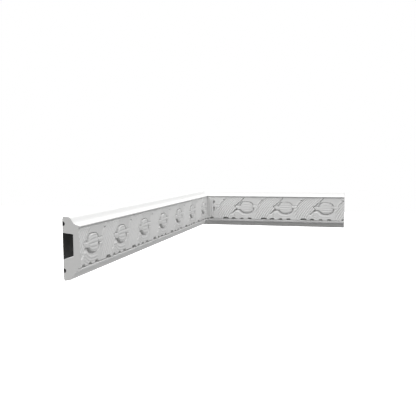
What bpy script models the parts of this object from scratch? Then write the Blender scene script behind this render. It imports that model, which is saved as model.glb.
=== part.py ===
"""Carved wall moulding, two lengths mitred into an inside room corner.

The right-hand length lies against the wall y = 0 and runs along X. The left-hand length
lies against the wall x = CORNER_X and runs along -Y. Both share one section and one
running ornament, a ribbed bud under a swirl of leaves, which reads the same way, from
left to right, on both walls. The origin is on the flat back of the right-hand length,
at mid length, on the strip between its lower glue groove and its recess.
"""
import math

import bmesh
import bpy
import numpy as np
from mathutils import Vector

MM = 0.001

# Driving sizes. Heights are above the foot of the moulding, depths are out from the wall.
HEIGHT = 70 * MM
LEFT_LENGTH = 533.6 * MM
RIGHT_LENGTH = 284 * MM
MITRE_GAP = 0.3 * MM

# Running ornament: its repeat, and where one bud's centre falls on each length
REPEAT = 76.1 * MM
LEFT_BUD = -45.4 * MM
RIGHT_BUD = 22.7 * MM

# The carved band between the two lips
BAND_FOOT = 16 * MM
BAND_HEAD = 57.2 * MM
FOOT_DEPTH = 17.4 * MM
HEAD_DEPTH = 18.5 * MM
BAND_DEPTH_HIGH = 19.5 * MM
BAND_DEPTH_LOW = 21 * MM

# Bud and neck, seen from the front, and how far they stand out
BUD_MIDDLE = 37.8 * MM
BUD_HALF = 10.9 * MM
BUD_END = 12 * MM
BUD_FULL = 3 * MM
NECK_HALF = 3.7 * MM
NECK_ROOT = -17 * MM
BUD_TOP = 21.2 * MM
NECK_TOP = 19.4 * MM
BUD_EDGE = 16.8 * MM
BUD_RIBS = 6

# The hollow that the bud lies in
HOLLOW_DEPTH = 16.3 * MM
HOLLOW_WIDTH = 3.4 * MM
HOLLOW_EXTRA = 2.2 * MM

# Stem between the bud and the next leaf
STEM_MIDDLE = 39.3 * MM
STEM_HALF = 2.3 * MM
STEM_TOP = 20 * MM

# Leaf and ribbon
LEAF_RISE = 0.8 * MM
LEAF_EDGE_ROUND = 0.5 * MM
LEAF_RIBS = 5
RIB_DEPTH = 0.7 * MM
RIBS_FROM = 18 * MM
RIBS_FULL = 34 * MM
GROUND_DROP = 0.8 * MM
RIBBON_END = -27 * MM
RIBBON_RISE = 0.6 * MM
STEP_WIDTH = 0.9 * MM

# The leaf's smooth left outline and its jagged right edge: height, place from the bud
LEAF_LEFT = [(16, 15), (30, 16), (35, 17), (39.3, 19.7), (45.2, 21.7), (51.1, 25.6), (54, 30), (58, 35)]
LEAF_RIGHT = [(16, -50), (18, -46), (22.5, -38.4), (25.5, -31.5), (30.4, -23.6), (34.4, -20.7),
              (39.3, -25.6), (43.7, -18.7), (49.1, -12.8), (54, -6.9), (58, -4)]

# Gaps between the lobes that hang over the lower lip: place from the bud, half width
LOBE_GAPS = [(-25, 3.2), (-10.3, 2.8), (4.9, 2.8), (33.5, 4.4)]
LOBE_FOOT = 16.6 * MM
LOBE_GAP_RISE = 3.2 * MM

# Grid of the carved band: its columns follow the leaf, and stand upright across the bud
LEAF_COLUMNS = 10
BUD_COLUMNS = 15
UPRIGHT_FROM = -22 * MM
UPRIGHT_TO = 16.5 * MM

# Plain part of the section, as depth and height: the lower lip and the ogee under it
LIP_BACK = (FOOT_DEPTH, 15.4 * MM)
LIP_EDGE = (20.1 * MM, 15.4 * MM)
LIP_CORNER = (21 * MM, 15.4 * MM)
LIP_NOSE = (20.9 * MM, 14.5 * MM)
OGEE_HEAD = (14.2 * MM, 10.5 * MM)
OGEE_FOOT = (8.9 * MM, 2.4 * MM)
FOOT_EDGE = (5.5 * MM, 0.8 * MM)

# The top: a flat ledge at the wall, a cyma down to a shelf, and the upper lip
LEDGE_EDGE = (6.4 * MM, HEIGHT - 0.3 * MM)
CYMA_MIDDLE = (11.6 * MM, 65 * MM)
SHELF_EDGE = (19.3 * MM, 60.7 * MM)
UPPER_LIP_NOSE = (20.2 * MM, 58.9 * MM)
UPPER_LIP_BACK = (HEAD_DEPTH, 58 * MM)

# Back of the moulding: a drafted recess and two half-round glue grooves
RECESS_DEPTH = 12.2 * MM
RECESS_MOUTH = (23.6 * MM, 52.5 * MM)
RECESS_FLOOR = (27 * MM, 51.2 * MM)
GROOVE_DEPTH = 2.8 * MM
GROOVE_HALF = 2.65 * MM
GROOVE_LOW = 11.3 * MM
GROOVE_HIGH = 62.4 * MM
GROOVE_STEPS = 6

# Places in the part's own frame
CORNER_X = -RIGHT_LENGTH / 2
FOOT_Z = -(GROOVE_LOW + GROOVE_HALF + RECESS_MOUTH[0]) / 2

WHITE_PRIMER = (0.80, 0.80, 0.79, 1)
PRIMER_ROUGHNESS = 0.55


def smooth(x):
    """Rises from 0 to 1 without a corner as x goes from 0 to 1."""
    x = np.clip(x, 0, 1)
    return x * x * (3 - 2 * x)


def curve(start, first, second, end, steps):
    """Points of a Bezier curve in the section, without its start."""
    points = []
    for step in range(1, steps + 1):
        t = step / steps
        weights = ((1 - t) ** 3, 3 * t * (1 - t) ** 2, 3 * t * t * (1 - t), t ** 3)
        knots = (start, first, second, end)
        points.append(tuple(sum(w * k[axis] for w, k in zip(weights, knots)) for axis in (0, 1)))
    return points


def beside(point, depth, height):
    """A point of the section that lies a little further out and up than another."""
    return (point[0] + depth * MM, point[1] + height * MM)


def groove(middle):
    """Points of a half-round glue groove in the back face, from its lower edge upwards."""
    points = []
    for step in range(GROOVE_STEPS + 1):
        angle = math.pi * step / GROOVE_STEPS
        points.append((math.sin(angle) * GROOVE_DEPTH, middle - math.cos(angle) * GROOVE_HALF))
    return points


def plain_section():
    """The uncarved part of the section, from the band's foot round the back to its head."""
    lower = [LIP_BACK, LIP_EDGE]
    lower += curve(LIP_EDGE, beside(LIP_EDGE, 0.6, 0), LIP_CORNER, LIP_NOSE, 3)
    lower += curve(LIP_NOSE, beside(LIP_NOSE, -0.3, -1.9), beside(OGEE_HEAD, 2.6, 1.1), OGEE_HEAD, 5)
    lower += curve(OGEE_HEAD, beside(OGEE_HEAD, -2.6, -2.1), beside(OGEE_FOOT, 2.7, 3), OGEE_FOOT, 5)
    lower += curve(OGEE_FOOT, beside(OGEE_FOOT, -1.1, -1.2), beside(FOOT_EDGE, 1.3, 0.2), FOOT_EDGE, 3)
    lower += [(0, 0)]
    top_back = (0, HEIGHT)
    upper = [beside(top_back, 0, -0.8), beside(top_back, 0.3, -0.2), beside(top_back, 0.9, 0), LEDGE_EDGE]
    upper += curve(LEDGE_EDGE, beside(LEDGE_EDGE, 3, -0.3), beside(CYMA_MIDDLE, -1.6, 2.2), CYMA_MIDDLE, 5)
    upper += curve(CYMA_MIDDLE, beside(CYMA_MIDDLE, 1.4, -2.1), beside(SHELF_EDGE, -4.9, 0.7), SHELF_EDGE, 5)
    upper += curve(SHELF_EDGE, beside(SHELF_EDGE, 1, -0.2), beside(UPPER_LIP_NOSE, 0.4, 0.9), UPPER_LIP_NOSE, 3)
    upper += curve(UPPER_LIP_NOSE, beside(UPPER_LIP_NOSE, -0.4, -0.7), beside(UPPER_LIP_BACK, 0.7, 0.1),
                   UPPER_LIP_BACK, 2)
    recess = [(0, RECESS_MOUTH[0]), (RECESS_DEPTH, RECESS_FLOOR[0]),
              (RECESS_DEPTH, RECESS_FLOOR[1]), (0, RECESS_MOUTH[1])]
    return lower + groove(GROOVE_LOW) + recess + groove(GROOVE_HIGH) + upper


def outline_at(knots, height):
    """Reads one of the leaf's outlines at the given height."""
    heights = [knot[0] * MM for knot in knots]
    places = [knot[1] * MM for knot in knots]
    return np.interp(height, heights, places)


def batter(height):
    """Depth of the band's general surface, which leans out towards its foot."""
    share = (height - BAND_FOOT) / (BAND_HEAD - BAND_FOOT)
    return BAND_DEPTH_LOW + (BAND_DEPTH_HIGH - BAND_DEPTH_LOW) * share


def leaf_depth(share, height):
    """The leaf, ribbed along its length and rising towards its jagged right edge."""
    fade = 0.25 + 0.75 * smooth((height - RIBS_FROM) / (RIBS_FULL - RIBS_FROM))
    ribs = (np.abs(np.sin(math.pi * LEAF_RIBS * share)) - 0.6) * RIB_DEPTH * fade
    rise = LEAF_RISE * (smooth(share * 1.1) - 0.5)
    rounding = LEAF_EDGE_ROUND * smooth((share - 0.9) / 0.1)
    return batter(height) + rise + ribs - rounding


def bud_half(place):
    """Half the bud's height at a place along it, from the neck to its fullest."""
    swell = smooth((place - NECK_ROOT) / (0 - NECK_ROOT))
    return NECK_HALF + (BUD_HALF - NECK_HALF) * swell


def bud_and_hollow(place, height):
    """How near a point is to the bud's outline, as a share inside and a distance outside."""
    off = np.abs(height - BUD_MIDDLE)
    along = np.clip((place - BUD_FULL) / (BUD_END - BUD_FULL), 0, None)
    inside = (along ** 2.6 + (off / bud_half(place)) ** 2.6) ** (1 / 2.6)
    return inside, (inside - 1) * bud_half(place)


def bud_depth(place, height, inside):
    """The ribbed, domed bud and its neck."""
    crest = NECK_TOP + (BUD_TOP - NECK_TOP) * smooth((place - NECK_ROOT) / (0 - NECK_ROOT))
    dome = np.sqrt(np.clip(1 - inside ** 2.4, 0, 1))
    across = (height - BUD_MIDDLE) / bud_half(place)
    ribs = RIB_DEPTH * 0.6 * np.abs(np.cos(math.pi * BUD_RIBS / 2 * across)) * dome
    return BUD_EDGE + (crest - BUD_EDGE) * dome + ribs - RIB_DEPTH * 0.3


def surround_depth(place, height, outside):
    """Ground above the bud and ribbon below it, falling into the hollow round the bud."""
    below = smooth((BUD_MIDDLE + 4 * MM - height) / (12 * MM))
    ground = batter(height) - GROUND_DROP
    ribbon = batter(height) + RIBBON_RISE * (smooth((place - RIBBON_END) / STEP_WIDTH) - 0.5)
    level = ground + (ribbon - ground) * below
    lower_left = below * smooth((6 * MM - place) / (18 * MM))
    width = HOLLOW_WIDTH + HOLLOW_EXTRA * lower_left
    climb = smooth((outside - 0.3 * width) / (0.7 * width))
    return HOLLOW_DEPTH + (level - HOLLOW_DEPTH) * climb


def stem_depth(place, height):
    """Short stem that bridges the hollow from the bud's blunt end to the next leaf."""
    along = smooth((place - (BUD_END - 3 * MM)) / (2 * MM))
    across = np.clip(1 - ((height - STEM_MIDDLE) / STEM_HALF) ** 2, 0, 1)
    return HOLLOW_DEPTH + (STEM_TOP - HOLLOW_DEPTH) * np.sqrt(across) * along


def lobe_cut(place, height, depth):
    """Cuts the gaps between the hanging lobes back to the band's foot."""
    foot = np.full(np.shape(place), LOBE_FOOT)
    for middle, half_width in LOBE_GAPS:
        off = (place - middle * MM + REPEAT / 2) % REPEAT - REPEAT / 2
        rise = LOBE_GAP_RISE * np.clip(1 - np.abs(off) / (half_width * MM), 0, 1)
        foot = np.maximum(foot, LOBE_FOOT + rise)
    solid = smooth((height - foot) / (1.2 * MM) + 0.5)
    return FOOT_DEPTH + (depth - FOOT_DEPTH) * solid


def carved_rows():
    """Heights of the band's rows, closer together where the bud meets its hollow."""
    lobes = np.array([0, 1.4, 3.4, 6.2]) * MM + BAND_FOOT
    hollow = np.array([-2.9, -1.1]) * MM
    bud = np.linspace(0.7 * MM - BUD_HALF, BUD_HALF - 0.7 * MM, 7)
    ground = np.linspace(BUD_MIDDLE - hollow[0] + BUD_HALF, BAND_HEAD, 3)
    below = BUD_MIDDLE - BUD_HALF + hollow
    above = BUD_MIDDLE + BUD_HALF - hollow[1:]
    return np.concatenate([lobes, below, BUD_MIDDLE + bud, above, ground])


def bud_columns(start, left, height):
    """Places of one row's columns from the last leaf's edge to the next leaf's outline."""
    even = start + (left - start) * np.linspace(0, 1, BUD_COLUMNS + 1)
    upright = np.linspace(UPRIGHT_FROM, UPRIGHT_TO, BUD_COLUMNS - 1)
    upright = np.concatenate([[start], np.clip(upright, start + 1 * MM, left - 1 * MM), [left]])
    low_share = smooth((height - 20 * MM) / (5 * MM))
    high_share = smooth((54 * MM - height) / (5 * MM))
    return even + (upright - even) * low_share * high_share


def carved_repeat(height):
    """One row of one repeat, from a leaf's left outline: places and depths."""
    left = outline_at(LEAF_LEFT, height)
    right = outline_at(LEAF_RIGHT, height) + REPEAT
    share = np.linspace(0, 1, LEAF_COLUMNS + 1)
    leaf_places = left + (right - STEP_WIDTH / 2 - left) * share
    leaf_depths = leaf_depth(share, height)
    start = right - REPEAT + STEP_WIDTH / 2
    bud_places = bud_columns(start, left, height)[:-1]
    inside, outside = bud_and_hollow(bud_places, height)
    bud = bud_depth(bud_places, height, inside)
    surround = surround_depth(bud_places, height, outside)
    bud_depths = np.where(inside < 1, bud, surround)
    bud_depths = np.maximum(bud_depths, stem_depth(bud_places, height))
    places = np.concatenate([leaf_places, bud_places + REPEAT])
    depths = np.concatenate([leaf_depths, bud_depths])
    depths = lobe_cut(places, height, depths)
    if height <= BAND_FOOT:
        depths[:] = FOOT_DEPTH
    if height >= BAND_HEAD:
        depths[:] = HEAD_DEPTH
    return places, depths


def carved_band(first_bud, start, end):
    """Rows of (place along, depth, height) that cover start to end and a little more."""
    first = math.floor((start - first_bud) / REPEAT) - 1
    last = math.ceil((end - first_bud) / REPEAT)
    rows = []
    for height in carved_rows():
        places, depths = carved_repeat(height)
        row = []
        for number in range(first, last + 1):
            offset = first_bud + number * REPEAT
            row += [(offset + place, depth, height) for place, depth in zip(places, depths)]
        rows.append(row)
    return rows


def moulding_length(name, first_bud, start, end, to_world, cuts):
    """Makes one closed length: carved band, plain section round the back, two cut ends."""
    rows = carved_band(first_bud, start, end)
    low = min(row[0][0] for row in rows)
    high = max(row[-1][0] for row in rows)
    mesh = bmesh.new()

    def corner(point):
        return mesh.verts.new(to_world(*point))

    grid = [[corner(point) for point in row] for row in rows]
    section = [(corner((low, *point)), corner((high, *point))) for point in plain_section()]
    for lower, upper in zip(grid, grid[1:]):
        for column in range(len(lower) - 1):
            mesh.faces.new((lower[column], lower[column + 1], upper[column + 1], upper[column]))
    for (near, far), (next_near, next_far) in zip(section, section[1:]):
        mesh.faces.new((near, next_near, next_far, far))
    mesh.faces.new([section[0][0], section[0][1], *reversed(grid[0])])
    mesh.faces.new([section[-1][1], section[-1][0], *grid[-1]])
    for point, normal in cuts:
        everything = mesh.verts[:] + mesh.edges[:] + mesh.faces[:]
        cut = bmesh.ops.bisect_plane(mesh, geom=everything, dist=0.00001, plane_co=point,
                                     plane_no=normal, clear_outer=True)
        rim = [item for item in cut["geom_cut"] if isinstance(item, bmesh.types.BMEdge)]
        bmesh.ops.holes_fill(mesh, edges=rim, sides=0)
    bmesh.ops.recalc_face_normals(mesh, faces=mesh.faces[:])
    data = bpy.data.meshes.new(name)
    mesh.to_mesh(data)
    mesh.free()
    piece = bpy.data.objects.new(name, data)
    bpy.context.scene.collection.objects.link(piece)
    data.shade_smooth()
    data.set_sharp_from_angle(angle=math.radians(35))
    return piece


def primer_material(name):
    """White factory primer."""
    material = bpy.data.materials.new(name)
    material.use_nodes = True
    shader = material.node_tree.nodes["Principled BSDF"]
    shader.inputs["Base Color"].default_value = WHITE_PRIMER
    shader.inputs["Roughness"].default_value = PRIMER_ROUGHNESS
    shader.inputs["Metallic"].default_value = 0
    return material


def right_place(along, depth, height):
    """A point of the right-hand length, whose back is on the wall y = 0."""
    return Vector((CORNER_X + along, -depth, FOOT_Z + height))


def left_place(along, depth, height):
    """A point of the left-hand length, whose back is on the wall x = CORNER_X."""
    return Vector((CORNER_X + depth, along, FOOT_Z + height))


def make_right_length():
    """The length that is seen square on, from the corner to its cut right end."""
    mitre = (Vector((CORNER_X + MITRE_GAP * math.sqrt(0.5), 0, 0)), Vector((-1, -1, 0)).normalized())
    end = (Vector((CORNER_X + RIGHT_LENGTH, 0, 0)), Vector((1, 0, 0)))
    piece = moulding_length("right_length", RIGHT_BUD, 0, RIGHT_LENGTH, right_place, [mitre, end])
    piece.data.materials.append(primer_material("right_length_primer"))


def make_left_length():
    """The length that comes towards the viewer, from its cut end to the corner."""
    mitre = (Vector((CORNER_X, -MITRE_GAP * math.sqrt(0.5), 0)), Vector((1, 1, 0)).normalized())
    end = (Vector((CORNER_X, -LEFT_LENGTH, 0)), Vector((0, -1, 0)))
    piece = moulding_length("left_length", LEFT_BUD, -LEFT_LENGTH, 0, left_place, [mitre, end])
    piece.data.materials.append(primer_material("left_length_primer"))


def main():
    for old in list(bpy.data.objects):
        bpy.data.objects.remove(old)
    make_right_length()
    make_left_length()


main()
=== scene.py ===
"""Finished look of a carved wall moulding, two lengths mitred into an inside corner."""
import math

import bmesh
import bpy
import numpy as np
from mathutils import Matrix, Vector


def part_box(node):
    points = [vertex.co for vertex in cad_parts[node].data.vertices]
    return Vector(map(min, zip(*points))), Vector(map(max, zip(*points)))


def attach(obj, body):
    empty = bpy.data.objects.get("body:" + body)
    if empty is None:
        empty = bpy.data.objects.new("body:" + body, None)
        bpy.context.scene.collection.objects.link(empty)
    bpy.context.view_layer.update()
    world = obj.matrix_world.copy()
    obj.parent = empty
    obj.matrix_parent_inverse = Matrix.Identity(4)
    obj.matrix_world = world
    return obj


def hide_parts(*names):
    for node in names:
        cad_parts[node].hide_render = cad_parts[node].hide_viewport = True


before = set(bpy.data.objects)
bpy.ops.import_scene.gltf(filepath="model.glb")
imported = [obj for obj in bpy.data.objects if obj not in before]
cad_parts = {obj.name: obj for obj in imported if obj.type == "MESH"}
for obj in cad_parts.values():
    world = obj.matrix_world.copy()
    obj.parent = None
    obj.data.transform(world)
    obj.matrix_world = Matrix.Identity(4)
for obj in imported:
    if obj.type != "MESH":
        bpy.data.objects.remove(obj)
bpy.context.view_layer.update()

bl_info = {
    "name": "Carved wall moulding",
    "version": (1, 0, 0),
    "blender": (4, 5, 0),
    "location": "View3D > Sidebar > Moulding",
    "description": "Models and finishes two mitred lengths of carved wall moulding",
    "category": "Object",
}

MM = 0.001
LEFT_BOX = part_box("left_length")
RIGHT_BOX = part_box("right_length")

# Overall sizes, read from the solids
CORNER_X = LEFT_BOX[0][0]
FOOT_Z = LEFT_BOX[0][2]
HEIGHT = LEFT_BOX[1][2] - LEFT_BOX[0][2]
LEFT_LENGTH = -LEFT_BOX[0][1]
RIGHT_LENGTH = RIGHT_BOX[1][0] - CORNER_X
MITRE_GAP = 0.3 * MM
CUT_THRESHOLD = 0.001 * MM

# Running ornament: its repeat, and where one bud's centre falls on each length
REPEAT = 76.1 * MM
LEFT_BUD = -45.4 * MM
RIGHT_BUD = 22.7 * MM

# The carved band between the two lips, in millimetres: height above the foot, depth from the back
BAND_FOOT = 14.6
BAND_HEAD = 57.2
FOOT_DEPTH = 17
HEAD_DEPTH = 18.5
LEAF_DEPTH_HIGH = 19.2
LEAF_DEPTH_LOW = 20.3
PROUDEST = 21.35
GROUND_DROP = 0.3
LEAF_STEPS = 70
BUD_STEPS = 78
SEAM = 0.25

# Spans below, such as NECK_FLARES, give where a change begins and where it is complete

# Bud: its middle as place along and height, its half lengths, its roundness and its ribs
BUD_MIDDLE = (0.4, 37.9)
BUD_LEFT = 12.6
BUD_RIGHT = 12.7
BUD_END = BUD_MIDDLE[0] + BUD_RIGHT
BUD_HALF = 10.7
BUD_TIP = 0.5
BUD_SQUARENESS = 2.5
BUD_ROUND_LEFT = 0.25
BUD_ROUND_RIGHT = 0.5
BUD_FULL_ABOVE = 80
BUD_FULL_BELOW = 10
BUD_LEAN = 0.8
BUD_LEAN_CURVE = 1.3
BUD_FALL = 2.2
BUD_FALL_FROM = 4
BUD_FALL_WIDTH = 9
BUD_RIBS = 7
BUD_FURROW = 0.2
BUD_RIBS_ACROSS = (0, 5 / 7)
BUD_RIBS_ALONG = (0.4, 0.9)

# Neck between the bud and the leaf on its left: its half height, flare and top
NECK_MIDDLE = 37
NECK_HALF = 3
NECK_FLARE = 2.5
NECK_FLARES = (-15, -6)
NECK_TOP = 19.9
NECK_RISES = (-18, -13)
NECK_SIDE = (0.24, -0.56)
NECK_END = BUD_MIDDLE[0] - 4

# Hollow round the bud: depth of its floor, width of its floor and width of its outer side
HOLLOW_BELOW = 18.8
HOLLOW_ABOVE = 17.6
HOLLOW_LEFT = 17.4
HOLLOW_RIGHT = 17.4
HOLLOW_NECK = 18.7
HOLLOW_TO_ENDS = (2, 10)
HOLLOW_TO_LOW = (BUD_MIDDLE[1] + 5, BUD_MIDDLE[1] - 1)
HOLLOW_FROM_NECK = (-16.5, -13.5)
FLOOR_ABOVE = 0.4
FLOOR_SHOULDER = 1.7
FLOOR_BELOW = 0
FLOOR_LEFT = 0.2
FLOOR_RIGHT = 1.7
SIDE_WIDTH = 0.6
TOWARDS_LEFT = (-2, -10)
TOWARDS_RIGHT = (4, 12)

# Ribbon round the bud's lower side, which dips towards the hollow
RIBBON_LOW = (BUD_MIDDLE[1] + 3, BUD_MIDDLE[1] - 5)
RIBBON_DROP = 0.2
RIBBON_DIP = 1.2
DIP_AT_NECK = 1.7
DIP_WIDTH = 4
DIP_ROUND = 0.6
RIBBON_PERIOD = 3.2
RIBBON_SHIFT = 0.1
RIBBON_FURROW = 0.28
RIBBON_LINES = 0.3
LINE_LEVEL = 0.6
LINES_BEGIN = (0, 1.2)
LINES_END = (17, 13)
RIBBON_ENDS = (-25.5, -24.3)

# Stem from the bud's blunt end to the next leaf, and the line cut along each of its edges
STEM_MIDDLE = 39.3
STEM_HALF = 3.1
STEM_TOP = 19.5
STEM_FOOT = 16
STEM_SQUARENESS = 4
STEM_BEGINS = (BUD_END - 2, BUD_END - 0.5)
STEM_LINE_DEPTH = 0.7
STEM_LINE_HALF = 0.8
STEM_LINE_BEGINS = (BUD_END, BUD_END + 1.5)
STEM_LINE_ENDS = (22, 20)

# The leaf's left outline and jagged right edge: height, place from the bud
LEAF_LEFT = [(14, 16), (30, 17), (34, 18.5), (36.7, 21), (43.3, 22.5), (47.5, 25), (50, 27.5),
             (52.5, 30.5), (58, 35)]
LEAF_RIGHT = [(14, -31.5), (22.5, -31.5), (25.8, -30.5), (30, -26), (35, -20.5), (37.5, -22.5),
              (40.3, -24.6), (44.5, -17.3), (46.8, -16.6), (48, -12.6), (49.4, -11.4),
              (54.2, -7.2), (58, -5)]
FAIRING = 2.5
FAIRING_STEPS = 7

# The leaf's surface: its ribs, its rise to the right edge, and the shade cut beside that edge
RIB_LEAN = 0.78
RIB_BEND = 0.009
RIB_MIDDLE = 36
RIB_PERIOD = 4.6
RIB_FURROW = 0.32
RIB_LEVEL = 0.5
RIBS_HIGH = 0.75
RIBS_DEEPEN = (40, 20)
RIBS_ABOVE_FOOT = (BAND_FOOT, BAND_FOOT + 4)
RIBS_FROM_LEFT = (-0.5, 2.5)
LEAF_DROP = 0.2
LEAF_RISES = (0, 10 / 11)
LEAF_LEAN = 0.6
LEAF_LEANS = (30, 58)
EDGE_RISE = 0.7
EDGE_ROUND = 0.7
EDGE_ROUND_WIDTH = 1.6
EDGE_ABOVE_FOOT = (23.5, 26.5)
SHADE_DEPTHS = (1.7, 2.6)
SHADE_WIDTHS = (1.9, 4.6)
SHADE_CURVE = 1.5
SHADE_DEEPENS = (36, 33)

# The leaf's left border, which rolls over beside the bud, the crease beside it and the leaf's eye
ROLL_RISE = 0.7
ROLL_LEFT = (-4, 0)
ROLL_RIGHT = (5, 0)
ROLL_ABOVE = (30, 36)
ROLL_LEVEL = (17, 18)
CREASE_DEPTH = 1
CREASE_HALF = 1
CREASE_OFF = 0.4
CREASE_BEGINS = (36, 39)
CREASE_ENDS = (54, 51)
EYE = (30, 52)
EYE_HALF = (2.6, 1.2)
EYE_DEPTH = 2.4
EYE_EDGE = 1.2

# Gaps between the hanging lobes: place from the bud, half width and rise
LOBE_GAPS = [(-26, 4.3, 2.4), (-10, 3.7, 2), (5.7, 4.1, 2.2), (34, 6.2, 3.1)]
LOBE_FOOT = 15.2
LOBE_STEP = (-0.3, 0.3)
GAP_FLOOR = 12.5
GAP_DEEPENS = (0, 0.625)

# Nicks along the band's head: place from the bud and half width
HEAD_NICKS = [(-33, 1.8), (-23, 1.8), (11, 1.8), (24, 1.8)]
NICK_DROP = 1.3
HEAD_LINE = BAND_HEAD - 0.3
HEAD_STEP = (-0.35, 0.35)

# Leaf that laps round the corner: how far it reaches, its lines, and the hollows beside it
LAP_EDGE = 31
LAP_CURVE = 8
LAP_CURVE_FROM = 50
LAP_CURVE_HEIGHT = 7
LAP_RISE = 0.5
LAP_ROUND = 0.9
LAP_ROUNDS = (-1.5, 0)
LAP_START = 20
LAP_PERIOD = 3.4
LAP_FURROW = 0.22
LAP_LINES = 0.8
LAP_FADES = (5.5, 7.5)
LAP_MARKS = [(30, 37.6), (44.7, 50)]
MARK_DEPTH = 3.6
MARK_STEP = (-0.4, 0.4)
MARK_ENDS = (3, 2.4)

# Painted shade in the furrows: how many points the surroundings reach, and how deep a point must lie for
# the full painted shade
PAINTED_SHADE_REACH = 3
PAINTED_SHADE_FULL = 0.8 * MM

# Plain part of the section, as depth and height: the lower lip and the ogee under it
LIP_BACK = (FOOT_DEPTH * MM, 14.2 * MM)
LIP_EDGE = (20.1 * MM, 14.4 * MM)
LIP_NOSE = (20.9 * MM, 13.6 * MM)
OGEE_HEAD = (14.2 * MM, 10.5 * MM)
OGEE_FOOT = (8.9 * MM, 2.4 * MM)
FOOT_EDGE = (5.5 * MM, 0.8 * MM)

# Curves of the lower part: start, offsets of both handles in millimetres, end and number of steps
LOWER_CURVES = [
    (LIP_EDGE, (0.6, 0), (0.1, 0.8), LIP_NOSE, 6),
    (LIP_NOSE, (-0.3, -1.9), (2.6, 1.1), OGEE_HEAD, 12),
    (OGEE_HEAD, (-2.6, -2.1), (2.7, 3), OGEE_FOOT, 12),
    (OGEE_FOOT, (-1.1, -1.2), (1.3, 0.2), FOOT_EDGE, 8),
]

# The top: a flat ledge at the back, a cyma down to a shelf, and the upper lip
LEDGE_EDGE = (6.4 * MM, HEIGHT - 0.3 * MM)
CYMA_MIDDLE = (11.6 * MM, 65 * MM)
SHELF_EDGE = (19.3 * MM, 60.7 * MM)
UPPER_LIP_NOSE = (20.2 * MM, 58.9 * MM)
UPPER_LIP_BACK = (HEAD_DEPTH * MM, 58 * MM)
TOP_BACK_OFFSETS = [(0, -0.8), (0.3, -0.2), (0.9, 0)]

# Curves of the upper part, given in the same way
UPPER_CURVES = [
    (LEDGE_EDGE, (3, -0.3), (-1.6, 2.2), CYMA_MIDDLE, 12),
    (CYMA_MIDDLE, (1.4, -2.1), (-4.9, 0.7), SHELF_EDGE, 12),
    (SHELF_EDGE, (1, -0.2), (0.4, 0.9), UPPER_LIP_NOSE, 6),
    (UPPER_LIP_NOSE, (-0.4, -0.7), (0.7, 0.1), UPPER_LIP_BACK, 4),
]

# Back of the moulding: a drafted recess and two half-round glue grooves
RECESS_DEPTH = 12.2 * MM
RECESS_MOUTH = (23.6 * MM, 52.5 * MM)
RECESS_FLOOR = (27 * MM, 51.2 * MM)
GROOVE_DEPTH = 2.8 * MM
GROOVE_HALF = 2.65 * MM
GROOVE_LOW = 11.3 * MM
GROOVE_HIGH = 62.4 * MM
GROOVE_STEPS = 12

# Photograph's viewpoint, in the part's frame
CAMERA_PLACE = (CORNER_X + 299.7 * MM, -1034.2 * MM, FOOT_Z + 127.1 * MM)
CAMERA_YAW = math.radians(15.4)
CAMERA_PITCH = math.radians(4.98)
CAMERA_ROLL = math.radians(-0.42)
CAMERA_LENS = 45.7
CAMERA_SENSOR = 36

# Joining: how near to a level or a cut counts as on it, and the angle from which an edge is sharp
LEVEL_TOLERANCE = 0.005 * MM
CUT_TOLERANCE = 0.05 * MM
CUT_FLATNESS = 0.999
SHARP_ANGLE = math.radians(40)

# Skin of the foam: size of its broad mottling, fineness of both patterns and range of roughness
BROAD_SCALE = 14
BROAD_DETAIL = 4
FINE_DETAIL = 3
ROUGHNESS = (0.45, 0.62)
SKIN_HEIGHT = 0.2 * MM

# Studio: where the lights stand, the floor, and the dark strips of painted shade in the planes of the
# two backs
LIGHT_TARGET = Vector((CORNER_X + 0.1, -0.15, 0))
OVERHEAD_PLACE = (-0.5, -0.75, 2.4)
LOW_PLACE = (-0.15, 1, -1.5)
OVERHEAD_SIZE = 2.2
LOW_SIZE = 0.6
HORIZON = (-0.25, 0.6)
WHITE = (1, 1, 1, 1)
STAGE_FLOOR_SIZE = 8
STAGE_FLOOR_COLOUR = (0.95, 0.95, 0.95, 1)
STAGE_FLOOR_ROUGHNESS = 0.9
STAGE_FLOOR_GLOW = 0.9
# Colour of the strips that stand in for the shade inside the recess: painted shade
RECESS_SHADE_COLOUR = (0.05, 0.05, 0.05, 1)
STRIP_GAP = 0.3 * MM
STRIP_Z = FOOT_Z + HEIGHT / 2 - 0.5 * MM
STRIP_HEIGHT = HEIGHT - 4 * MM


class MouldingSizes(bpy.types.PropertyGroup):
    """Sizes of the fine carving."""
    grain: bpy.props.FloatProperty(
        name="Carving step", description="Distance between neighbouring rows of the carved band",
        default=0.5 * MM, min=0.3 * MM, unit="LENGTH")
    rib_depth: bpy.props.FloatProperty(
        name="Rib depth", description="How deep the furrows between the leaf's ribs are",
        default=0.85 * MM, min=0, unit="LENGTH")
    bud_rib_depth: bpy.props.FloatProperty(
        name="Bud rib depth", description="How deep the furrows along the bud are",
        default=0.35 * MM, min=0, unit="LENGTH")


class MouldingFinish(bpy.types.PropertyGroup):
    """Colours and gloss of the moulding."""
    primer: bpy.props.FloatVectorProperty(
        name="Primer", description="Colour of the factory primer", subtype="COLOR", size=4,
        default=(0.80, 0.80, 0.795, 1), min=0, max=1)
    # Colour of the shade painted deep in the carving; both finishes also take it for their random
    # mottling
    furrow: bpy.props.FloatVectorProperty(
        name="Furrow", description="Colour of the primer deep in the carving", subtype="COLOR",
        size=4, default=(0.56, 0.56, 0.555, 1), min=0, max=1)
    sawn: bpy.props.FloatVectorProperty(
        name="Sawn foam", description="Colour of the dense foam where it is sawn", subtype="COLOR",
        size=4, default=(0.76, 0.76, 0.75, 1), min=0, max=1)
    gloss: bpy.props.FloatProperty(
        name="Gloss", description="Strength of the primer's shine, 0.5 for common plastic",
        subtype="FACTOR", default=0.03, min=0, max=1)


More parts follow.
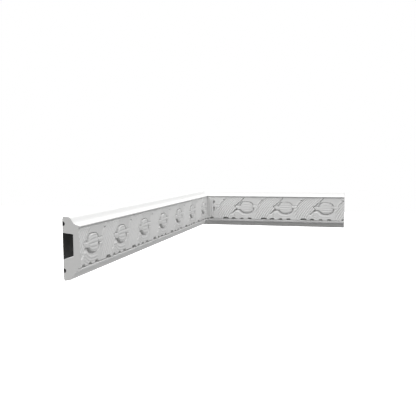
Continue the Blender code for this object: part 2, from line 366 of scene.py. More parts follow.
class StageLook(bpy.types.PropertyGroup):
    """Light and floor of the studio."""
    overhead: bpy.props.FloatProperty(
        name="Overhead light", description="Power of the large soft light above, in watts",
        default=23, min=0)
    low: bpy.props.FloatProperty(
        name="Low light", description="Power of the small light low behind the corner, in watts",
        default=24, min=0)
    sky_fill: bpy.props.FloatProperty(
        name="Light from above", default=1.33, min=0,
        description="Brightness of the light from all round, above the horizon")
    ground_fill: bpy.props.FloatProperty(
        name="Light from below", default=0.13, min=0,
        description="Brightness of the light from all round, below the horizon")
    floor_drop: bpy.props.FloatProperty(
        name="Floor drop", description="How far the floor lies below the moulding's foot",
        default=0.35, min=0, unit="LENGTH")


def smooth(x):
    """Rises from 0 to 1 without a corner as x goes from 0 to 1."""
    x = np.clip(x, 0, 1)
    return x * x * (3 - 2 * x)


def ramp(x, span):
    """Rises smoothly from 0 where the span begins to 1 where it is complete, up or down."""
    return smooth((x - span[0]) / (span[1] - span[0]))


def ribs(x, width):
    """Flat ribs, 1 on top, with rounded furrows at the whole numbers, 0."""
    return 1 - np.exp(-((x - np.round(x)) / width) ** 2)


def blend(first, second, share):
    """Goes from the first value to the second as the share goes from 0 to 1."""
    return first + (second - first) * share


def outline_at(knots, height):
    """Reads one of the leaf's outlines at the given height."""
    return np.interp(height, [knot[0] for knot in knots], [knot[1] for knot in knots])


def fair_outline(knots, height):
    """The same outline with its corners rounded."""
    shifts = np.linspace(-FAIRING, FAIRING, FAIRING_STEPS)
    return sum(outline_at(knots, height + shift) for shift in shifts) / FAIRING_STEPS


def wrapped(place):
    """Distance along from the nearest bud's centre."""
    repeat = REPEAT / MM
    return (place + repeat / 2) % repeat - repeat / 2


def batter(height):
    """Depth of the band's general surface, which leans out towards its foot."""
    return blend(LEAF_DEPTH_LOW, LEAF_DEPTH_HIGH, (height - BAND_FOOT) / (BAND_HEAD - BAND_FOOT))


def neck_half(place):
    """Half the neck's height, which flares towards the bud."""
    return NECK_HALF + NECK_FLARE * ramp(place, NECK_FLARES)


def bud_inside(place, height):
    """0 in the bud's middle, 1 on its outline, and more outside it."""
    off = place - BUD_MIDDLE[0]
    along = abs(off) / np.where(off < 0, BUD_LEFT, BUD_RIGHT)
    across = abs(height - BUD_MIDDLE[1]) / BUD_HALF
    return (along ** BUD_SQUARENESS + across ** BUD_SQUARENESS) ** (1 / BUD_SQUARENESS)


def bud_width(place):
    """Half the bud's height at a place along it."""
    off = place - BUD_MIDDLE[0]
    along = np.clip(abs(off) / np.where(off < 0, BUD_LEFT, BUD_RIGHT), 0, 1)
    return BUD_HALF * (1 - along ** BUD_SQUARENESS) ** (1 / BUD_SQUARENESS)


def hollow_depth(place, height):
    """Depth of the hollow's floor: deepest at the bud's ends, shallow under it and by the neck."""
    off = place - BUD_MIDDLE[0]
    end = np.where(off < 0, HOLLOW_LEFT, HOLLOW_RIGHT)
    below = blend(HOLLOW_BELOW, end, ramp(abs(off), HOLLOW_TO_ENDS))
    side = blend(HOLLOW_ABOVE, below, ramp(height, HOLLOW_TO_LOW))
    return blend(HOLLOW_NECK, side, ramp(place, HOLLOW_FROM_NECK))


def bud_depth(place, height, sizes):
    """The ribbed bud: steep above and by the neck, rolled off below and towards the stem."""
    half = bud_width(place)
    across = (height - BUD_MIDDLE[1]) / np.maximum(half, BUD_TIP)
    length = (half / BUD_HALF) ** np.where(place < BUD_MIDDLE[0], BUD_ROUND_LEFT, BUD_ROUND_RIGHT)
    fullness = np.where(across < 0, BUD_FULL_BELOW, BUD_FULL_ABOVE)
    side = np.sqrt(np.clip(1 - abs(across) ** fullness, 0, 1))
    lean = BUD_LEAN * np.clip((across + 1) / 2, 0, 1) ** BUD_LEAN_CURVE
    fall = BUD_FALL * np.clip((place - BUD_FALL_FROM) / BUD_FALL_WIDTH, 0, 1) ** 2
    furrow = 1 - ribs(np.arcsin(np.clip(across, -1, 1)) / np.pi * BUD_RIBS, BUD_FURROW)
    fade = ramp(side, BUD_RIBS_ACROSS) * ramp(length, BUD_RIBS_ALONG)
    surface = blend(hollow_depth(place, height), PROUDEST - lean - fall, length * side)
    return surface - furrow * fade * sizes.bud_rib_depth / MM


def ribbon_depth(place, height, past, left, right):
    """The lined ribbon under the bud, level with the leaf at both its ends."""
    level = batter(height) - RIBBON_DROP
    lines = (ribs(past / RIBBON_PERIOD + RIBBON_SHIFT, RIBBON_FURROW) - LINE_LEVEL) * RIBBON_LINES
    lines = lines * ramp(past, LINES_BEGIN) * ramp(place, LINES_END)
    share = past / DIP_WIDTH
    slope = 1 - blend(np.clip(share, 0, 1), smooth(share), DIP_ROUND)
    dip = RIBBON_DIP * blend(1, DIP_AT_NECK, left) * slope
    ribbon = blend(level - dip + lines, level, right)
    return blend(batter(height) + EDGE_RISE, ribbon, ramp(place, RIBBON_ENDS))


def surround_depth(place, height, outside):
    """The hollow, the ground above the bud and the ribbon round its lower side."""
    below = ramp(height, RIBBON_LOW)
    right = ramp(place, TOWARDS_RIGHT)
    left = ramp(place, TOWARDS_LEFT)
    low_floor = blend(FLOOR_BELOW, blend(FLOOR_LEFT, FLOOR_RIGHT, right), np.maximum(left, right))
    floor = blend(blend(FLOOR_ABOVE, FLOOR_SHOULDER, left), low_floor, below)
    ribbon = ribbon_depth(place, height, outside - floor - SIDE_WIDTH, left, right)
    level = blend(batter(height) - GROUND_DROP, ribbon, below)
    return blend(hollow_depth(place, height), level, smooth((outside - floor) / SIDE_WIDTH))


def leaf_shade(place, height):
    """Depth taken off beside the leaf's jagged edge, where the leaf lies over the ground."""
    off = place - outline_at(LEAF_RIGHT, height)
    low = ramp(height, SHADE_DEEPENS)
    reach = 1 - np.clip(off / blend(*SHADE_WIDTHS, low), 0, 1) ** SHADE_CURVE
    return blend(*SHADE_DEPTHS, low) * reach * ramp(height, EDGE_ABOVE_FOOT)


def stem_depth(place, height):
    """Short stem that bridges the valley from the bud's blunt end to the next leaf."""
    across = np.clip(1 - ((height - STEM_MIDDLE) / STEM_HALF) ** STEM_SQUARENESS, 0, 1)
    return blend(STEM_FOOT, STEM_TOP, np.sqrt(across) * ramp(place, STEM_BEGINS))


def stem_lines(place, height):
    """Depth of the lines cut along both edges of the stem."""
    reach = ramp(place, STEM_LINE_BEGINS) * ramp(place, STEM_LINE_ENDS)
    edges = (STEM_MIDDLE + STEM_HALF, STEM_MIDDLE - STEM_HALF)
    near = sum(1 - smooth(abs(height - edge) / STEM_LINE_HALF) for edge in edges)
    return STEM_LINE_DEPTH * reach * near


def bud_side_depth(place, height, sizes):
    """One row of the bud, its neck and stem, the hollow, the ground and the ribbon."""
    inside = bud_inside(place, height)
    off_neck = abs(height - NECK_MIDDLE) - neck_half(place)
    off_neck = np.where(place < NECK_END, off_neck, BUD_HALF)
    outside = np.minimum((inside - 1) * BUD_HALF, off_neck)
    surround = surround_depth(place, height, outside)
    bud = np.where(inside < 1, bud_depth(place, height, sizes), surround)
    neck_top = blend(batter(height) - GROUND_DROP, NECK_TOP, ramp(place, NECK_RISES))
    neck = blend(bud, neck_top, ramp(off_neck, NECK_SIDE))
    proud = np.maximum(np.maximum(bud, neck), stem_depth(place, height))
    return proud - leaf_shade(place, height) - stem_lines(place, height)


def leaf_depth(place, height, sizes):
    """One row of the ribbed leaf, rising towards its jagged right edge."""
    left = fair_outline(LEAF_LEFT, height)
    right = outline_at(LEAF_RIGHT, height) + REPEAT / MM
    share = np.clip((place - left) / (right - left), 0, 1)
    lean = RIB_LEAN * height + RIB_BEND * (height - RIB_MIDDLE) ** 2
    carving = (ribs((place - lean) / RIB_PERIOD, RIB_FURROW) - RIB_LEVEL) * sizes.rib_depth / MM
    carving = carving * blend(RIBS_HIGH, 1, ramp(height, RIBS_DEEPEN))
    carving = carving * ramp(height, RIBS_ABOVE_FOOT) * ramp(place - left, RIBS_FROM_LEFT)
    rise = blend(-LEAF_DROP, EDGE_RISE, ramp(share, LEAF_RISES)) - LEAF_LEAN * ramp(height, LEAF_LEANS)
    rounding = EDGE_ROUND * (1 - smooth((right - place) / EDGE_ROUND_WIDTH))
    return batter(height) + rise + carving - rounding * ramp(height, EDGE_ABOVE_FOOT)


def marked_depth(place, height, depth):
    """Adds the leaf's rolled left border, its eye and the crease along its left outline."""
    off = place - fair_outline(LEAF_LEFT, height)
    roll = ROLL_RISE * ramp(off, ROLL_LEFT) * ramp(off, ROLL_RIGHT) * ramp(height, ROLL_ABOVE)
    depth = depth + roll * ramp(depth, ROLL_LEVEL)
    eye = np.hypot((place - EYE[0]) / EYE_HALF[0], (height - EYE[1]) / EYE_HALF[1])
    depth = depth - EYE_DEPTH * (1 - smooth(eye / EYE_EDGE))
    crease = CREASE_DEPTH * (1 - smooth(abs(off - CREASE_OFF) / CREASE_HALF))
    return depth - crease * ramp(height, CREASE_BEGINS) * ramp(height, CREASE_ENDS)


def cut_depth(place, height, depth):
    """Cuts the gaps between the hanging lobes at the foot and the nicks at the head."""
    foot = np.full(place.shape, LOBE_FOOT)
    floor = np.full(place.shape, FOOT_DEPTH)
    for middle, half_width, rise in LOBE_GAPS:
        off = np.clip(np.abs(wrapped(place - middle)) / half_width, 0, 1)
        arch = np.sqrt(1 - off ** 2)
        foot = np.maximum(foot, LOBE_FOOT + rise * arch)
        floor = np.minimum(floor, blend(FOOT_DEPTH, GAP_FLOOR, ramp(arch, GAP_DEEPENS)))
    depth = blend(floor, depth, ramp(height - foot, LOBE_STEP))
    head = np.full(place.shape, HEAD_LINE)
    for middle, half_width in HEAD_NICKS:
        off = np.abs(wrapped(place - middle)) / half_width
        head = np.minimum(head, HEAD_LINE - NICK_DROP * np.clip(1 - off, 0, 1))
    return np.minimum(blend(HEAD_DEPTH, depth, ramp(head - height, HEAD_STEP)), PROUDEST)


def carved_row(height, sizes):
    """One row of one repeat, from a leaf's left outline to the next: places and depths."""
    left = fair_outline(LEAF_LEFT, height)
    edge = outline_at(LEAF_RIGHT, height)
    leaf_places = np.linspace(left, edge + REPEAT / MM - SEAM, LEAF_STEPS + 1)
    bud_places = np.linspace(edge + SEAM, left, BUD_STEPS + 1)[:-1]
    leaf = marked_depth(leaf_places, height, leaf_depth(leaf_places, height, sizes))
    bud = marked_depth(bud_places, height, bud_side_depth(bud_places, height, sizes))
    return np.concatenate([leaf_places, bud_places + REPEAT / MM]), np.concatenate([leaf, bud])


def lapped_depth(along, height, depth):
    """The leaf that laps round the corner and hides half of the right-hand length's first bud."""
    drawn_back = LAP_CURVE * np.clip((height - LAP_CURVE_FROM) / LAP_CURVE_HEIGHT, 0, 1) ** 2
    off = along - (LAP_EDGE - drawn_back)
    lines = (ribs((along - LAP_START) / LAP_PERIOD, LAP_FURROW) - LINE_LEVEL) * LAP_LINES
    leaf = batter(height) + LAP_RISE + lines - LAP_ROUND * ramp(off, LAP_ROUNDS)
    ground = np.full(along.shape, batter(height) - GROUND_DROP)
    for low, high in LAP_MARKS:
        mark = ramp(height - low, MARK_STEP) * ramp(high - height, MARK_STEP)
        ground = ground - MARK_DEPTH * mark * ramp(off, MARK_ENDS)
    on_stem = (abs(height - STEM_MIDDLE) < STEM_HALF) & (off > MARK_ENDS[0])
    ground = np.where(on_stem, STEM_TOP, ground)
    return blend(np.where(off < 0, leaf, ground), depth, ramp(off, LAP_FADES))


def carved_surface(first_bud, start, end, lapped, sizes):
    """Rows of places and depths, in metres, that cover a length and a little more at both ends."""
    row_count = round((BAND_HEAD - BAND_FOOT) * MM / sizes.grain)
    heights = np.linspace(BAND_FOOT, BAND_HEAD, row_count + 1)
    first = math.floor((start - first_bud) / REPEAT) - 1
    last = math.ceil((end - first_bud) / REPEAT)
    offsets = np.arange(first, last + 1) * REPEAT / MM
    places, depths = [], []
    for height in heights:
        row_places, row_depths = carved_row(height, sizes)
        place = (offsets[:, None] + row_places[None, :]).ravel()
        depth = np.tile(row_depths, len(offsets))
        along = place + first_bud / MM
        if lapped:
            depth = lapped_depth(along, height, depth)
        places.append(along * MM)
        depths.append(cut_depth(place, height, depth) * MM)
    places, depths = np.array(places), np.array(depths)
    depths[0] = FOOT_DEPTH * MM
    depths[-1] = HEAD_DEPTH * MM
    return places, depths, heights * MM


def furrows(depths):
    """How far each point lies below its surroundings, from 0 to 1, the mask of the shade painted into
    the furrows.
    """
    mean = depths.copy()
    shifts = range(-PAINTED_SHADE_REACH, PAINTED_SHADE_REACH + 1)
    for axis in (0, 1):
        mean = sum(np.roll(mean, shift, axis) for shift in shifts) / len(shifts)
    return np.clip((mean - depths) / PAINTED_SHADE_FULL, 0, 1)


def beside(point, offset):
    """A point of the section, moved out and up by an offset in millimetres."""
    return (point[0] + offset[0] * MM, point[1] + offset[1] * MM)


def curve(start, first_offset, second_offset, end, steps):
    """Points of a Bezier curve in the section, without its start."""
    knots = (start, beside(start, first_offset), beside(end, second_offset), end)
    points = []
    for step in range(1, steps + 1):
        share = step / steps
        rest = 1 - share
        weights = (rest ** 3, 3 * share * rest ** 2, 3 * share * share * rest, share ** 3)
        point = [sum(weight * knot[axis] for weight, knot in zip(weights, knots)) for axis in (0, 1)]
        points.append(tuple(point))
    return points


def groove(middle):
    """Points of a half-round glue groove in the back face, from its lower edge upwards."""
    angles = [math.pi * step / GROOVE_STEPS for step in range(GROOVE_STEPS + 1)]
    return [(math.sin(angle) * GROOVE_DEPTH, middle - math.cos(angle) * GROOVE_HALF) for angle in angles]


def plain_section():
    """The uncarved part of the section, from the band's foot round the back to its head."""
    lower = [LIP_BACK, LIP_EDGE]
    for shape in LOWER_CURVES:
        lower += curve(*shape)
    lower += [(0, 0)]
    upper = [beside((0, HEIGHT), offset) for offset in TOP_BACK_OFFSETS] + [LEDGE_EDGE]
    for shape in UPPER_CURVES:
        upper += curve(*shape)
    recess = [(0, RECESS_MOUTH[0]), (RECESS_DEPTH, RECESS_FLOOR[0]),
              (RECESS_DEPTH, RECESS_FLOOR[1]), (0, RECESS_MOUTH[1])]
    return lower + groove(GROOVE_LOW) + recess + groove(GROOVE_HIGH) + upper


def right_places(along, depth, height):
    """Points of the right-hand length, whose back is on the plane y = 0."""
    return np.stack([CORNER_X + along, -depth, FOOT_Z + height], axis=-1)


def left_places(along, depth, height):
    """Points of the left-hand length, whose back is on the plane x = CORNER_X."""
    return np.stack([CORNER_X + depth, along, FOOT_Z + height], axis=-1)


def move_points(piece, points):
    """Moves every point of a primitive to its place in the shape."""
    piece.data.vertices.foreach_set("co", np.asarray(points, dtype=np.float32).ravel())
    piece.data.update()


def add_section(places, low, high):
    """The plain section as a ring of points, drawn out along the length."""
    section = np.array(plain_section())
    bpy.ops.mesh.primitive_circle_add(vertices=len(section), radius=HEIGHT, fill_type="NOTHING")
    piece = bpy.context.object
    move_points(piece, places(np.full(len(section), low), section[:, 0], section[:, 1]))
    bpy.ops.object.mode_set(mode="EDIT")
    bpy.ops.mesh.select_all(action="SELECT")
    shift = places(high, 0, 0) - places(low, 0, 0)
    bpy.ops.mesh.extrude_edges_move(TRANSFORM_OT_translate={"value": tuple(shift)})
    bpy.ops.object.mode_set(mode="OBJECT")
    return piece


def add_carving(places, first_bud, start, end, lapped, sizes):
    """The carved band as a grid whose points are pushed out to the carving's depth."""
    along, depths, heights = carved_surface(first_bud, start, end, lapped, sizes)
    rows, columns = along.shape
    bpy.ops.mesh.primitive_grid_add(x_subdivisions=columns - 1, y_subdivisions=rows - 1, size=HEIGHT)
    piece = bpy.context.object
    levels = np.repeat(heights[:, None], columns, axis=1)
    move_points(piece, places(along, depths, levels).reshape(-1, 3))
    # Painted shade: this mask darkens the primer wherever a point lies below its surroundings
    layer = piece.data.attributes.new("furrow", "FLOAT", "POINT")
    layer.data.foreach_set("value", furrows(depths).astype(np.float32).ravel())
    return piece, float(along.min()), float(along.max())


class MOULDING_OT_length(bpy.types.Operator):
    """Models one carved length, cut square at its end and mitred in the corner"""
    bl_idname = "moulding.length"
    bl_label = "Carved length"

    side: bpy.props.EnumProperty(
        name="Side", description="Which arm of the corner the length makes",
        items=[("LEFT", "Left", "The longer length"), ("RIGHT", "Right", "The shorter length")])

    def execute(self, context):
        sizes = context.scene.moulding_sizes
        left = self.side == "LEFT"
        places = left_places if left else right_places
        node = "left_length" if left else "right_length"
        first_bud = LEFT_BUD if left else RIGHT_BUD
        start, end = (-LEFT_LENGTH, 0) if left else (0, RIGHT_LENGTH)
        gap = MITRE_GAP * math.sqrt(0.5)
        if left:
            cuts = [((CORNER_X, -gap, 0), (1, 1, 0)), ((CORNER_X, start, 0), (0, -1, 0))]
        else:
            cuts = [((CORNER_X + gap, 0, 0), (-1, -1, 0)), ((CORNER_X + end, 0, 0), (1, 0, 0))]
        bpy.ops.object.select_all(action="DESELECT")
        carving, low, high = add_carving(places, first_bud, start, end, not left, sizes)
        section = add_section(places, low, high)
        piece = join_length(carving, section, cuts, LEFT_BOX if left else RIGHT_BOX)
        piece.name = piece.data.name = "carved_" + node
        finish = context.scene.moulding_finish
        for material in (primed_foam(finish), sawn_foam(finish)):
            piece.data.materials.append(material)
        paint_cuts(piece, cuts)
        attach(piece, "root")
        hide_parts(node)
        return {"FINISHED"}


def join_length(carving, section, cuts, box):
    """Joins the carving to the plain section, closes the seams and cuts both ends."""
    bpy.ops.object.select_all(action="DESELECT")
    section.select_set(True)
    carving.select_set(True)
    bpy.context.view_layer.objects.active = carving
    bpy.ops.object.join()
    bpy.ops.object.mode_set(mode="EDIT")
    bpy.ops.mesh.select_mode(type="EDGE")
    drop_front_strip(carving)
    close_seam(carving, BAND_FOOT * MM, LIP_BACK[1])
    close_seam(carving, BAND_HEAD * MM, UPPER_LIP_BACK[1])
    for point, normal in cuts:
        bpy.ops.mesh.select_all(action="SELECT")
        bpy.ops.mesh.bisect(plane_co=point, plane_no=normal, use_fill=True, clear_outer=True,
                            threshold=CUT_THRESHOLD)
    bpy.ops.mesh.select_all(action="SELECT")
    bpy.ops.mesh.normals_make_consistent(inside=False)
    bpy.ops.object.mode_set(mode="OBJECT")
    keep_inside(carving, box)
    bpy.ops.object.shade_smooth_by_angle(angle=SHARP_ANGLE)
    return carving


def keep_inside(piece, box):
    """Brings points that a cut left a hair outside the solid's box back onto its faces."""
    points = np.empty(len(piece.data.vertices) * 3, dtype=np.float32)
    piece.data.vertices.foreach_get("co", points)
    low, high = (np.array(corner, dtype=np.float32) for corner in box)
    move_points(piece, np.clip(points.reshape(-1, 3), low, high))


def drop_front_strip(piece):
    """Deletes the one long face that spans the section's open front."""
    mesh = bmesh.from_edit_mesh(piece.data)
    foot = FOOT_Z + LIP_BACK[1]
    head = FOOT_Z + UPPER_LIP_BACK[1]
    for face in mesh.faces:
        heights = [vert.co.z for vert in face.verts]
        misses = (abs(min(heights) - foot), abs(max(heights) - head))
        face.select_set(max(misses) < LEVEL_TOLERANCE)
    bmesh.update_edit_mesh(piece.data)
    bpy.ops.mesh.delete(type="FACE")


def close_seam(piece, band_height, lip_height):
    """Fills the long flat seam between one edge of the carving and one edge of the section."""
    bpy.ops.mesh.select_all(action="DESELECT")
    mesh = bmesh.from_edit_mesh(piece.data)
    levels = (FOOT_Z + band_height, FOOT_Z + lip_height)
    for edge in mesh.edges:
        level = any(all(abs(vert.co.z - z) < LEVEL_TOLERANCE for vert in edge.verts) for z in levels)
        edge.select_set(level and edge.is_boundary)
    bmesh.update_edit_mesh(piece.data)
    bpy.ops.mesh.edge_face_add()


def paint_cuts(piece, cuts):
    """Gives the flat cut faces the sawn finish."""
    for point, normal in cuts:
        direction = Vector(normal).normalized()
        for face in piece.data.polygons:
            flat = face.normal.dot(direction) > CUT_FLATNESS
            if flat and abs((face.center - Vector(point)).dot(direction)) < CUT_TOLERANCE:
                face.material_index = 1


def make_group(name, inputs, outputs):
    """An empty shader node group with named sockets, or None if it is there already."""
    if name in bpy.data.node_groups:
        return None
    group = bpy.data.node_groups.new(name, "ShaderNodeTree")
    for label, kind, value in inputs:
        socket = group.interface.new_socket(label, in_out="INPUT", socket_type=kind)
        socket.default_value = value
    for label, kind in outputs:
        group.interface.new_socket(label, in_out="OUTPUT", socket_type=kind)
    return group


def foam_skin_group():
    """Shared effect: faint mottling, darkening by a mask that carries the primer's painted shade, and a
    fine uneven skin, on Object coordinates.
    """
    inputs = [
        ("Light", "NodeSocketColor", (0.8, 0.8, 0.8, 1)),
        ("Dark", "NodeSocketColor", (0.6, 0.6, 0.6, 1)),
        ("Mask", "NodeSocketFloat", 0.0),
        ("Scale", "NodeSocketFloat", 400.0),
        ("Mottle", "NodeSocketFloat", 0.1),
    ]
    outputs = [
        ("Color", "NodeSocketColor"),
        ("Roughness", "NodeSocketFloat"),
        ("Height", "NodeSocketFloat"),
    ]
    group = make_group("foam_skin", inputs, outputs)
    if group is None:
        return bpy.data.node_groups["foam_skin"]
    nodes, links = group.nodes, group.links
    given = nodes.new("NodeGroupInput")
    result = nodes.new("NodeGroupOutput")
    coordinates = nodes.new("ShaderNodeTexCoord")
    broad = nodes.new("ShaderNodeTexNoise")
    broad.inputs["Scale"].default_value = BROAD_SCALE
    broad.inputs["Detail"].default_value = BROAD_DETAIL
    fine = nodes.new("ShaderNodeTexNoise")
    fine.inputs["Detail"].default_value = FINE_DETAIL
    links.new(coordinates.outputs["Object"], broad.inputs["Vector"])
    links.new(coordinates.outputs["Object"], fine.inputs["Vector"])
    links.new(given.outputs["Scale"], fine.inputs["Scale"])
    spread = nodes.new("ShaderNodeMath")
    spread.operation = "MULTIPLY"
    links.new(broad.outputs["Fac"], spread.inputs[0])
    links.new(given.outputs["Mottle"], spread.inputs[1])
    total = nodes.new("ShaderNodeMath")
    total.operation = "ADD"
    total.use_clamp = True
    links.new(spread.outputs[0], total.inputs[0])
    links.new(given.outputs["Mask"], total.inputs[1])
    mix = nodes.new("ShaderNodeMix")
    mix.data_type = "RGBA"
    links.new(total.outputs[0], mix.inputs["Factor"])
    links.new(given.outputs["Light"], mix.inputs["A"])
    links.new(given.outputs["Dark"], mix.inputs["B"])
    rough = nodes.new("ShaderNodeMapRange")
    rough.inputs["To Min"].default_value = ROUGHNESS[0]
    rough.inputs["To Max"].default_value = ROUGHNESS[1]
    links.new(fine.outputs["Fac"], rough.inputs["Value"])
    links.new(mix.outputs["Result"], result.inputs["Color"])
    links.new(rough.outputs["Result"], result.inputs["Roughness"])
    links.new(fine.outputs["Fac"], result.inputs["Height"])
    return group


def foam_material(name, light, dark, scale, mottle, bump, gloss):
    """A foam finish made from the shared skin effect."""
    if name in bpy.data.materials:
        return bpy.data.materials[name]
    material = bpy.data.materials.new(name)
    material.use_nodes = True
    nodes, links = material.node_tree.nodes, material.node_tree.links
    shader = nodes["Principled BSDF"]
    skin = nodes.new("ShaderNodeGroup")
    skin.node_tree = foam_skin_group()
    skin.inputs["Light"].default_value = light
    skin.inputs["Dark"].default_value = dark
    skin.inputs["Scale"].default_value = scale
    skin.inputs["Mottle"].default_value = mottle
    relief = nodes.new("ShaderNodeBump")
    relief.inputs["Strength"].default_value = bump
    relief.inputs["Distance"].default_value = SKIN_HEIGHT
    shader.inputs["Specular IOR Level"].default_value = gloss
    links.new(skin.outputs["Color"], shader.inputs["Base Color"])
    links.new(skin.outputs["Roughness"], shader.inputs["Roughness"])
    links.new(skin.outputs["Height"], relief.inputs["Height"])
    links.new(relief.outputs["Normal"], shader.inputs["Normal"])
    return material


def primed_foam(finish):
    """White factory primer, with shade painted darker down in the furrows of the carving."""
    material = foam_material("primed_foam", finish.primer, finish.furrow, scale=900, mottle=0.06,
                             bump=0.25, gloss=finish.gloss)
    nodes, links = material.node_tree.nodes, material.node_tree.links
    if "Furrow" not in nodes:
        # The mask that paints shade into the furrows of the carving
        furrow = nodes.new("ShaderNodeAttribute")
        furrow.name = "Furrow"
        furrow.attribute_name = "furrow"
        skin = next(node for node in nodes if node.type == "GROUP")
        links.new(furrow.outputs["Fac"], skin.inputs["Mask"])
    return material


def sawn_foam(finish):
    """Sawn face of the dense foam, duller and more open than the primer."""
    return foam_material("sawn_foam", finish.sawn, finish.furrow, scale=2200, mottle=0.3,
                         bump=0.5, gloss=0)


class MOULDING_OT_stage(bpy.types.Operator):
    """Sets up the pale floor, the dark strips of painted shade behind the recess, the soft light and the
    camera
    """
    bl_idname = "moulding.stage"
    bl_label = "Stage"

    def execute(self, context):
        look = context.scene.moulding_stage
        bpy.ops.object.select_all(action="DESELECT")
        floor_z = FOOT_Z - look.floor_drop
        bpy.ops.mesh.primitive_plane_add(size=STAGE_FLOOR_SIZE, location=(0, 0, floor_z))
        floor = context.object
        floor.name = "floor"
        floor.data.materials.append(floor_material())
        floor.visible_diffuse = False
        floor.visible_glossy = False
        floor.visible_shadow = False
        left_back = (CORNER_X - STRIP_GAP, -LEFT_LENGTH / 2, STRIP_Z)
        right_back = (CORNER_X + RIGHT_LENGTH / 2, STRIP_GAP, STRIP_Z)
        # Dark strips of painted shade, where the recess would look into a wall in shade
        add_shade_strip("left_back_shade_strip", left_back, LEFT_LENGTH, math.radians(90))
        add_shade_strip("right_back_shade_strip", right_back, RIGHT_LENGTH, 0)
        add_area_light("overhead", OVERHEAD_PLACE, OVERHEAD_SIZE, look.overhead)
        add_area_light("low", LOW_PLACE, LOW_SIZE, look.low)
        make_world(look)
        add_camera()
        context.scene.view_settings.view_transform = "Standard"
        return {"FINISHED"}


def add_shade_strip(name, place, length, turn):
    """Dark strip of painted shade in the plane of a back, seen only through the open end of the recess.
    """
    bpy.ops.mesh.primitive_plane_add(size=1, location=place, rotation=(math.radians(90), 0, turn))
    strip = bpy.context.object
    strip.scale = (length, STRIP_HEIGHT, 1)
    strip.name = name
    bpy.ops.object.transform_apply(location=True, rotation=True, scale=True)
    strip.data.materials.append(recess_shade_material())


def recess_shade_material():
    """Dark sheet of painted shade that only the camera sees, and only from the front."""
    if "dark_felt" in bpy.data.materials:
        return bpy.data.materials["dark_felt"]
    material = bpy.data.materials.new("dark_felt")
    material.use_nodes = True
    nodes, links = material.node_tree.nodes, material.node_tree.links
    shade_sheet = nodes["Principled BSDF"]
    # Near-black colour of the painted shade
    shade_sheet.inputs["Base Color"].default_value = RECESS_SHADE_COLOUR
    shade_sheet.inputs["Roughness"].default_value = 1
    shade_sheet.inputs["Specular IOR Level"].default_value = 0
    clear = nodes.new("ShaderNodeBsdfTransparent")
    path = nodes.new("ShaderNodeLightPath")
    geometry = nodes.new("ShaderNodeNewGeometry")
    seen = nodes.new("ShaderNodeMath")
    seen.operation = "SUBTRACT"
    seen.use_clamp = True
    links.new(path.outputs["Is Camera Ray"], seen.inputs[0])
    links.new(geometry.outputs["Backfacing"], seen.inputs[1])
    mix = nodes.new("ShaderNodeMixShader")
    links.new(seen.outputs[0], mix.inputs["Fac"])
    links.new(clear.outputs["BSDF"], mix.inputs[1])
    links.new(shade_sheet.outputs["BSDF"], mix.inputs[2])
    links.new(mix.outputs["Shader"], nodes["Material Output"].inputs["Surface"])
    return material


def add_area_light(name, place, size, power):
    """Square soft light that faces the middle of the part."""
    bpy.ops.object.light_add(type="AREA", location=place)
    light = bpy.context.object
    light.name = name
    light.rotation_euler = (LIGHT_TARGET - Vector(place)).to_track_quat("-Z", "Y").to_euler()
    light.data.shape = "SQUARE"
    light.data.size = size
    light.data.energy = power


def floor_material():
    """Plain pale floor."""
    material = bpy.data.materials.new("pale_floor")
    material.use_nodes = True
    shader = material.node_tree.nodes["Principled BSDF"]
    shader.inputs["Base Color"].default_value = STAGE_FLOOR_COLOUR
    shader.inputs["Roughness"].default_value = STAGE_FLOOR_ROUGHNESS
    shader.inputs["Emission Color"].default_value = WHITE
    shader.inputs["Emission Strength"].default_value = STAGE_FLOOR_GLOW
    return material


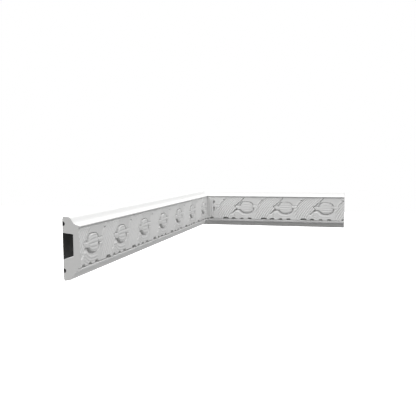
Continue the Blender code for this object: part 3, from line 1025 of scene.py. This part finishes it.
def make_world(look):
    """White backdrop for the camera, softer light for everything else."""
    world = bpy.data.worlds.new("studio")
    world.use_nodes = True
    bpy.context.scene.world = world
    nodes, links = world.node_tree.nodes, world.node_tree.links
    output = nodes["World Output"]
    fill = nodes["Background"]
    fill.inputs["Color"].default_value = WHITE
    way = nodes.new("ShaderNodeTexCoord")
    parts = nodes.new("ShaderNodeSeparateXYZ")
    strength = nodes.new("ShaderNodeMapRange")
    strength.interpolation_type = "SMOOTHSTEP"
    strength.inputs["From Min"].default_value = HORIZON[0]
    strength.inputs["From Max"].default_value = HORIZON[1]
    strength.inputs["To Min"].default_value = look.ground_fill
    strength.inputs["To Max"].default_value = look.sky_fill
    links.new(way.outputs["Generated"], parts.inputs["Vector"])
    links.new(parts.outputs["Z"], strength.inputs["Value"])
    links.new(strength.outputs["Result"], fill.inputs["Strength"])
    backdrop = nodes.new("ShaderNodeBackground")
    backdrop.inputs["Color"].default_value = WHITE
    path = nodes.new("ShaderNodeLightPath")
    mix = nodes.new("ShaderNodeMixShader")
    links.new(path.outputs["Is Camera Ray"], mix.inputs["Fac"])
    links.new(fill.outputs["Background"], mix.inputs[1])
    links.new(backdrop.outputs["Background"], mix.inputs[2])
    links.new(mix.outputs["Shader"], output.inputs["Surface"])


def add_camera():
    """Camera at the photograph's viewpoint."""
    bpy.ops.object.camera_add(location=CAMERA_PLACE)
    camera = bpy.context.object
    turn = Matrix.Rotation(CAMERA_YAW, 3, "Z")
    tilt = Matrix.Rotation(math.radians(90) - CAMERA_PITCH, 3, "X")
    roll = Matrix.Rotation(CAMERA_ROLL, 3, "Z")
    camera.rotation_euler = (turn @ tilt @ roll).to_euler()
    camera.data.sensor_width = CAMERA_SENSOR
    camera.data.sensor_fit = "HORIZONTAL"
    camera.data.lens = CAMERA_LENS
    bpy.context.scene.camera = camera


class MOULDING_PT_panel(bpy.types.Panel):
    """Lists the moulding's pieces and settings"""
    bl_idname = "MOULDING_PT_panel"
    bl_label = "Carved wall moulding"
    bl_space_type = "VIEW_3D"
    bl_region_type = "UI"
    bl_category = "Moulding"

    def draw(self, context):
        layout = self.layout
        scene = context.scene
        for group in (scene.moulding_sizes, scene.moulding_finish, scene.moulding_stage):
            box = layout.box()
            for name in group.__annotations__:
                box.prop(group, name)
        layout.operator("moulding.length", text="Left length").side = "LEFT"
        layout.operator("moulding.length", text="Right length").side = "RIGHT"
        layout.operator("moulding.stage")


CLASSES = (MouldingSizes, MouldingFinish, StageLook, MOULDING_OT_length, MOULDING_OT_stage,
           MOULDING_PT_panel)


def register():
    for item in CLASSES:
        bpy.utils.register_class(item)
    bpy.types.Scene.moulding_sizes = bpy.props.PointerProperty(type=MouldingSizes)
    bpy.types.Scene.moulding_finish = bpy.props.PointerProperty(type=MouldingFinish)
    bpy.types.Scene.moulding_stage = bpy.props.PointerProperty(type=StageLook)


def unregister():
    del bpy.types.Scene.moulding_sizes
    del bpy.types.Scene.moulding_finish
    del bpy.types.Scene.moulding_stage
    for item in reversed(CLASSES):
        bpy.utils.unregister_class(item)


def main():
    register()
    bpy.ops.moulding.length(side="LEFT")
    bpy.ops.moulding.length(side="RIGHT")
    bpy.ops.moulding.stage()


if __name__ == "__main__":
    main()
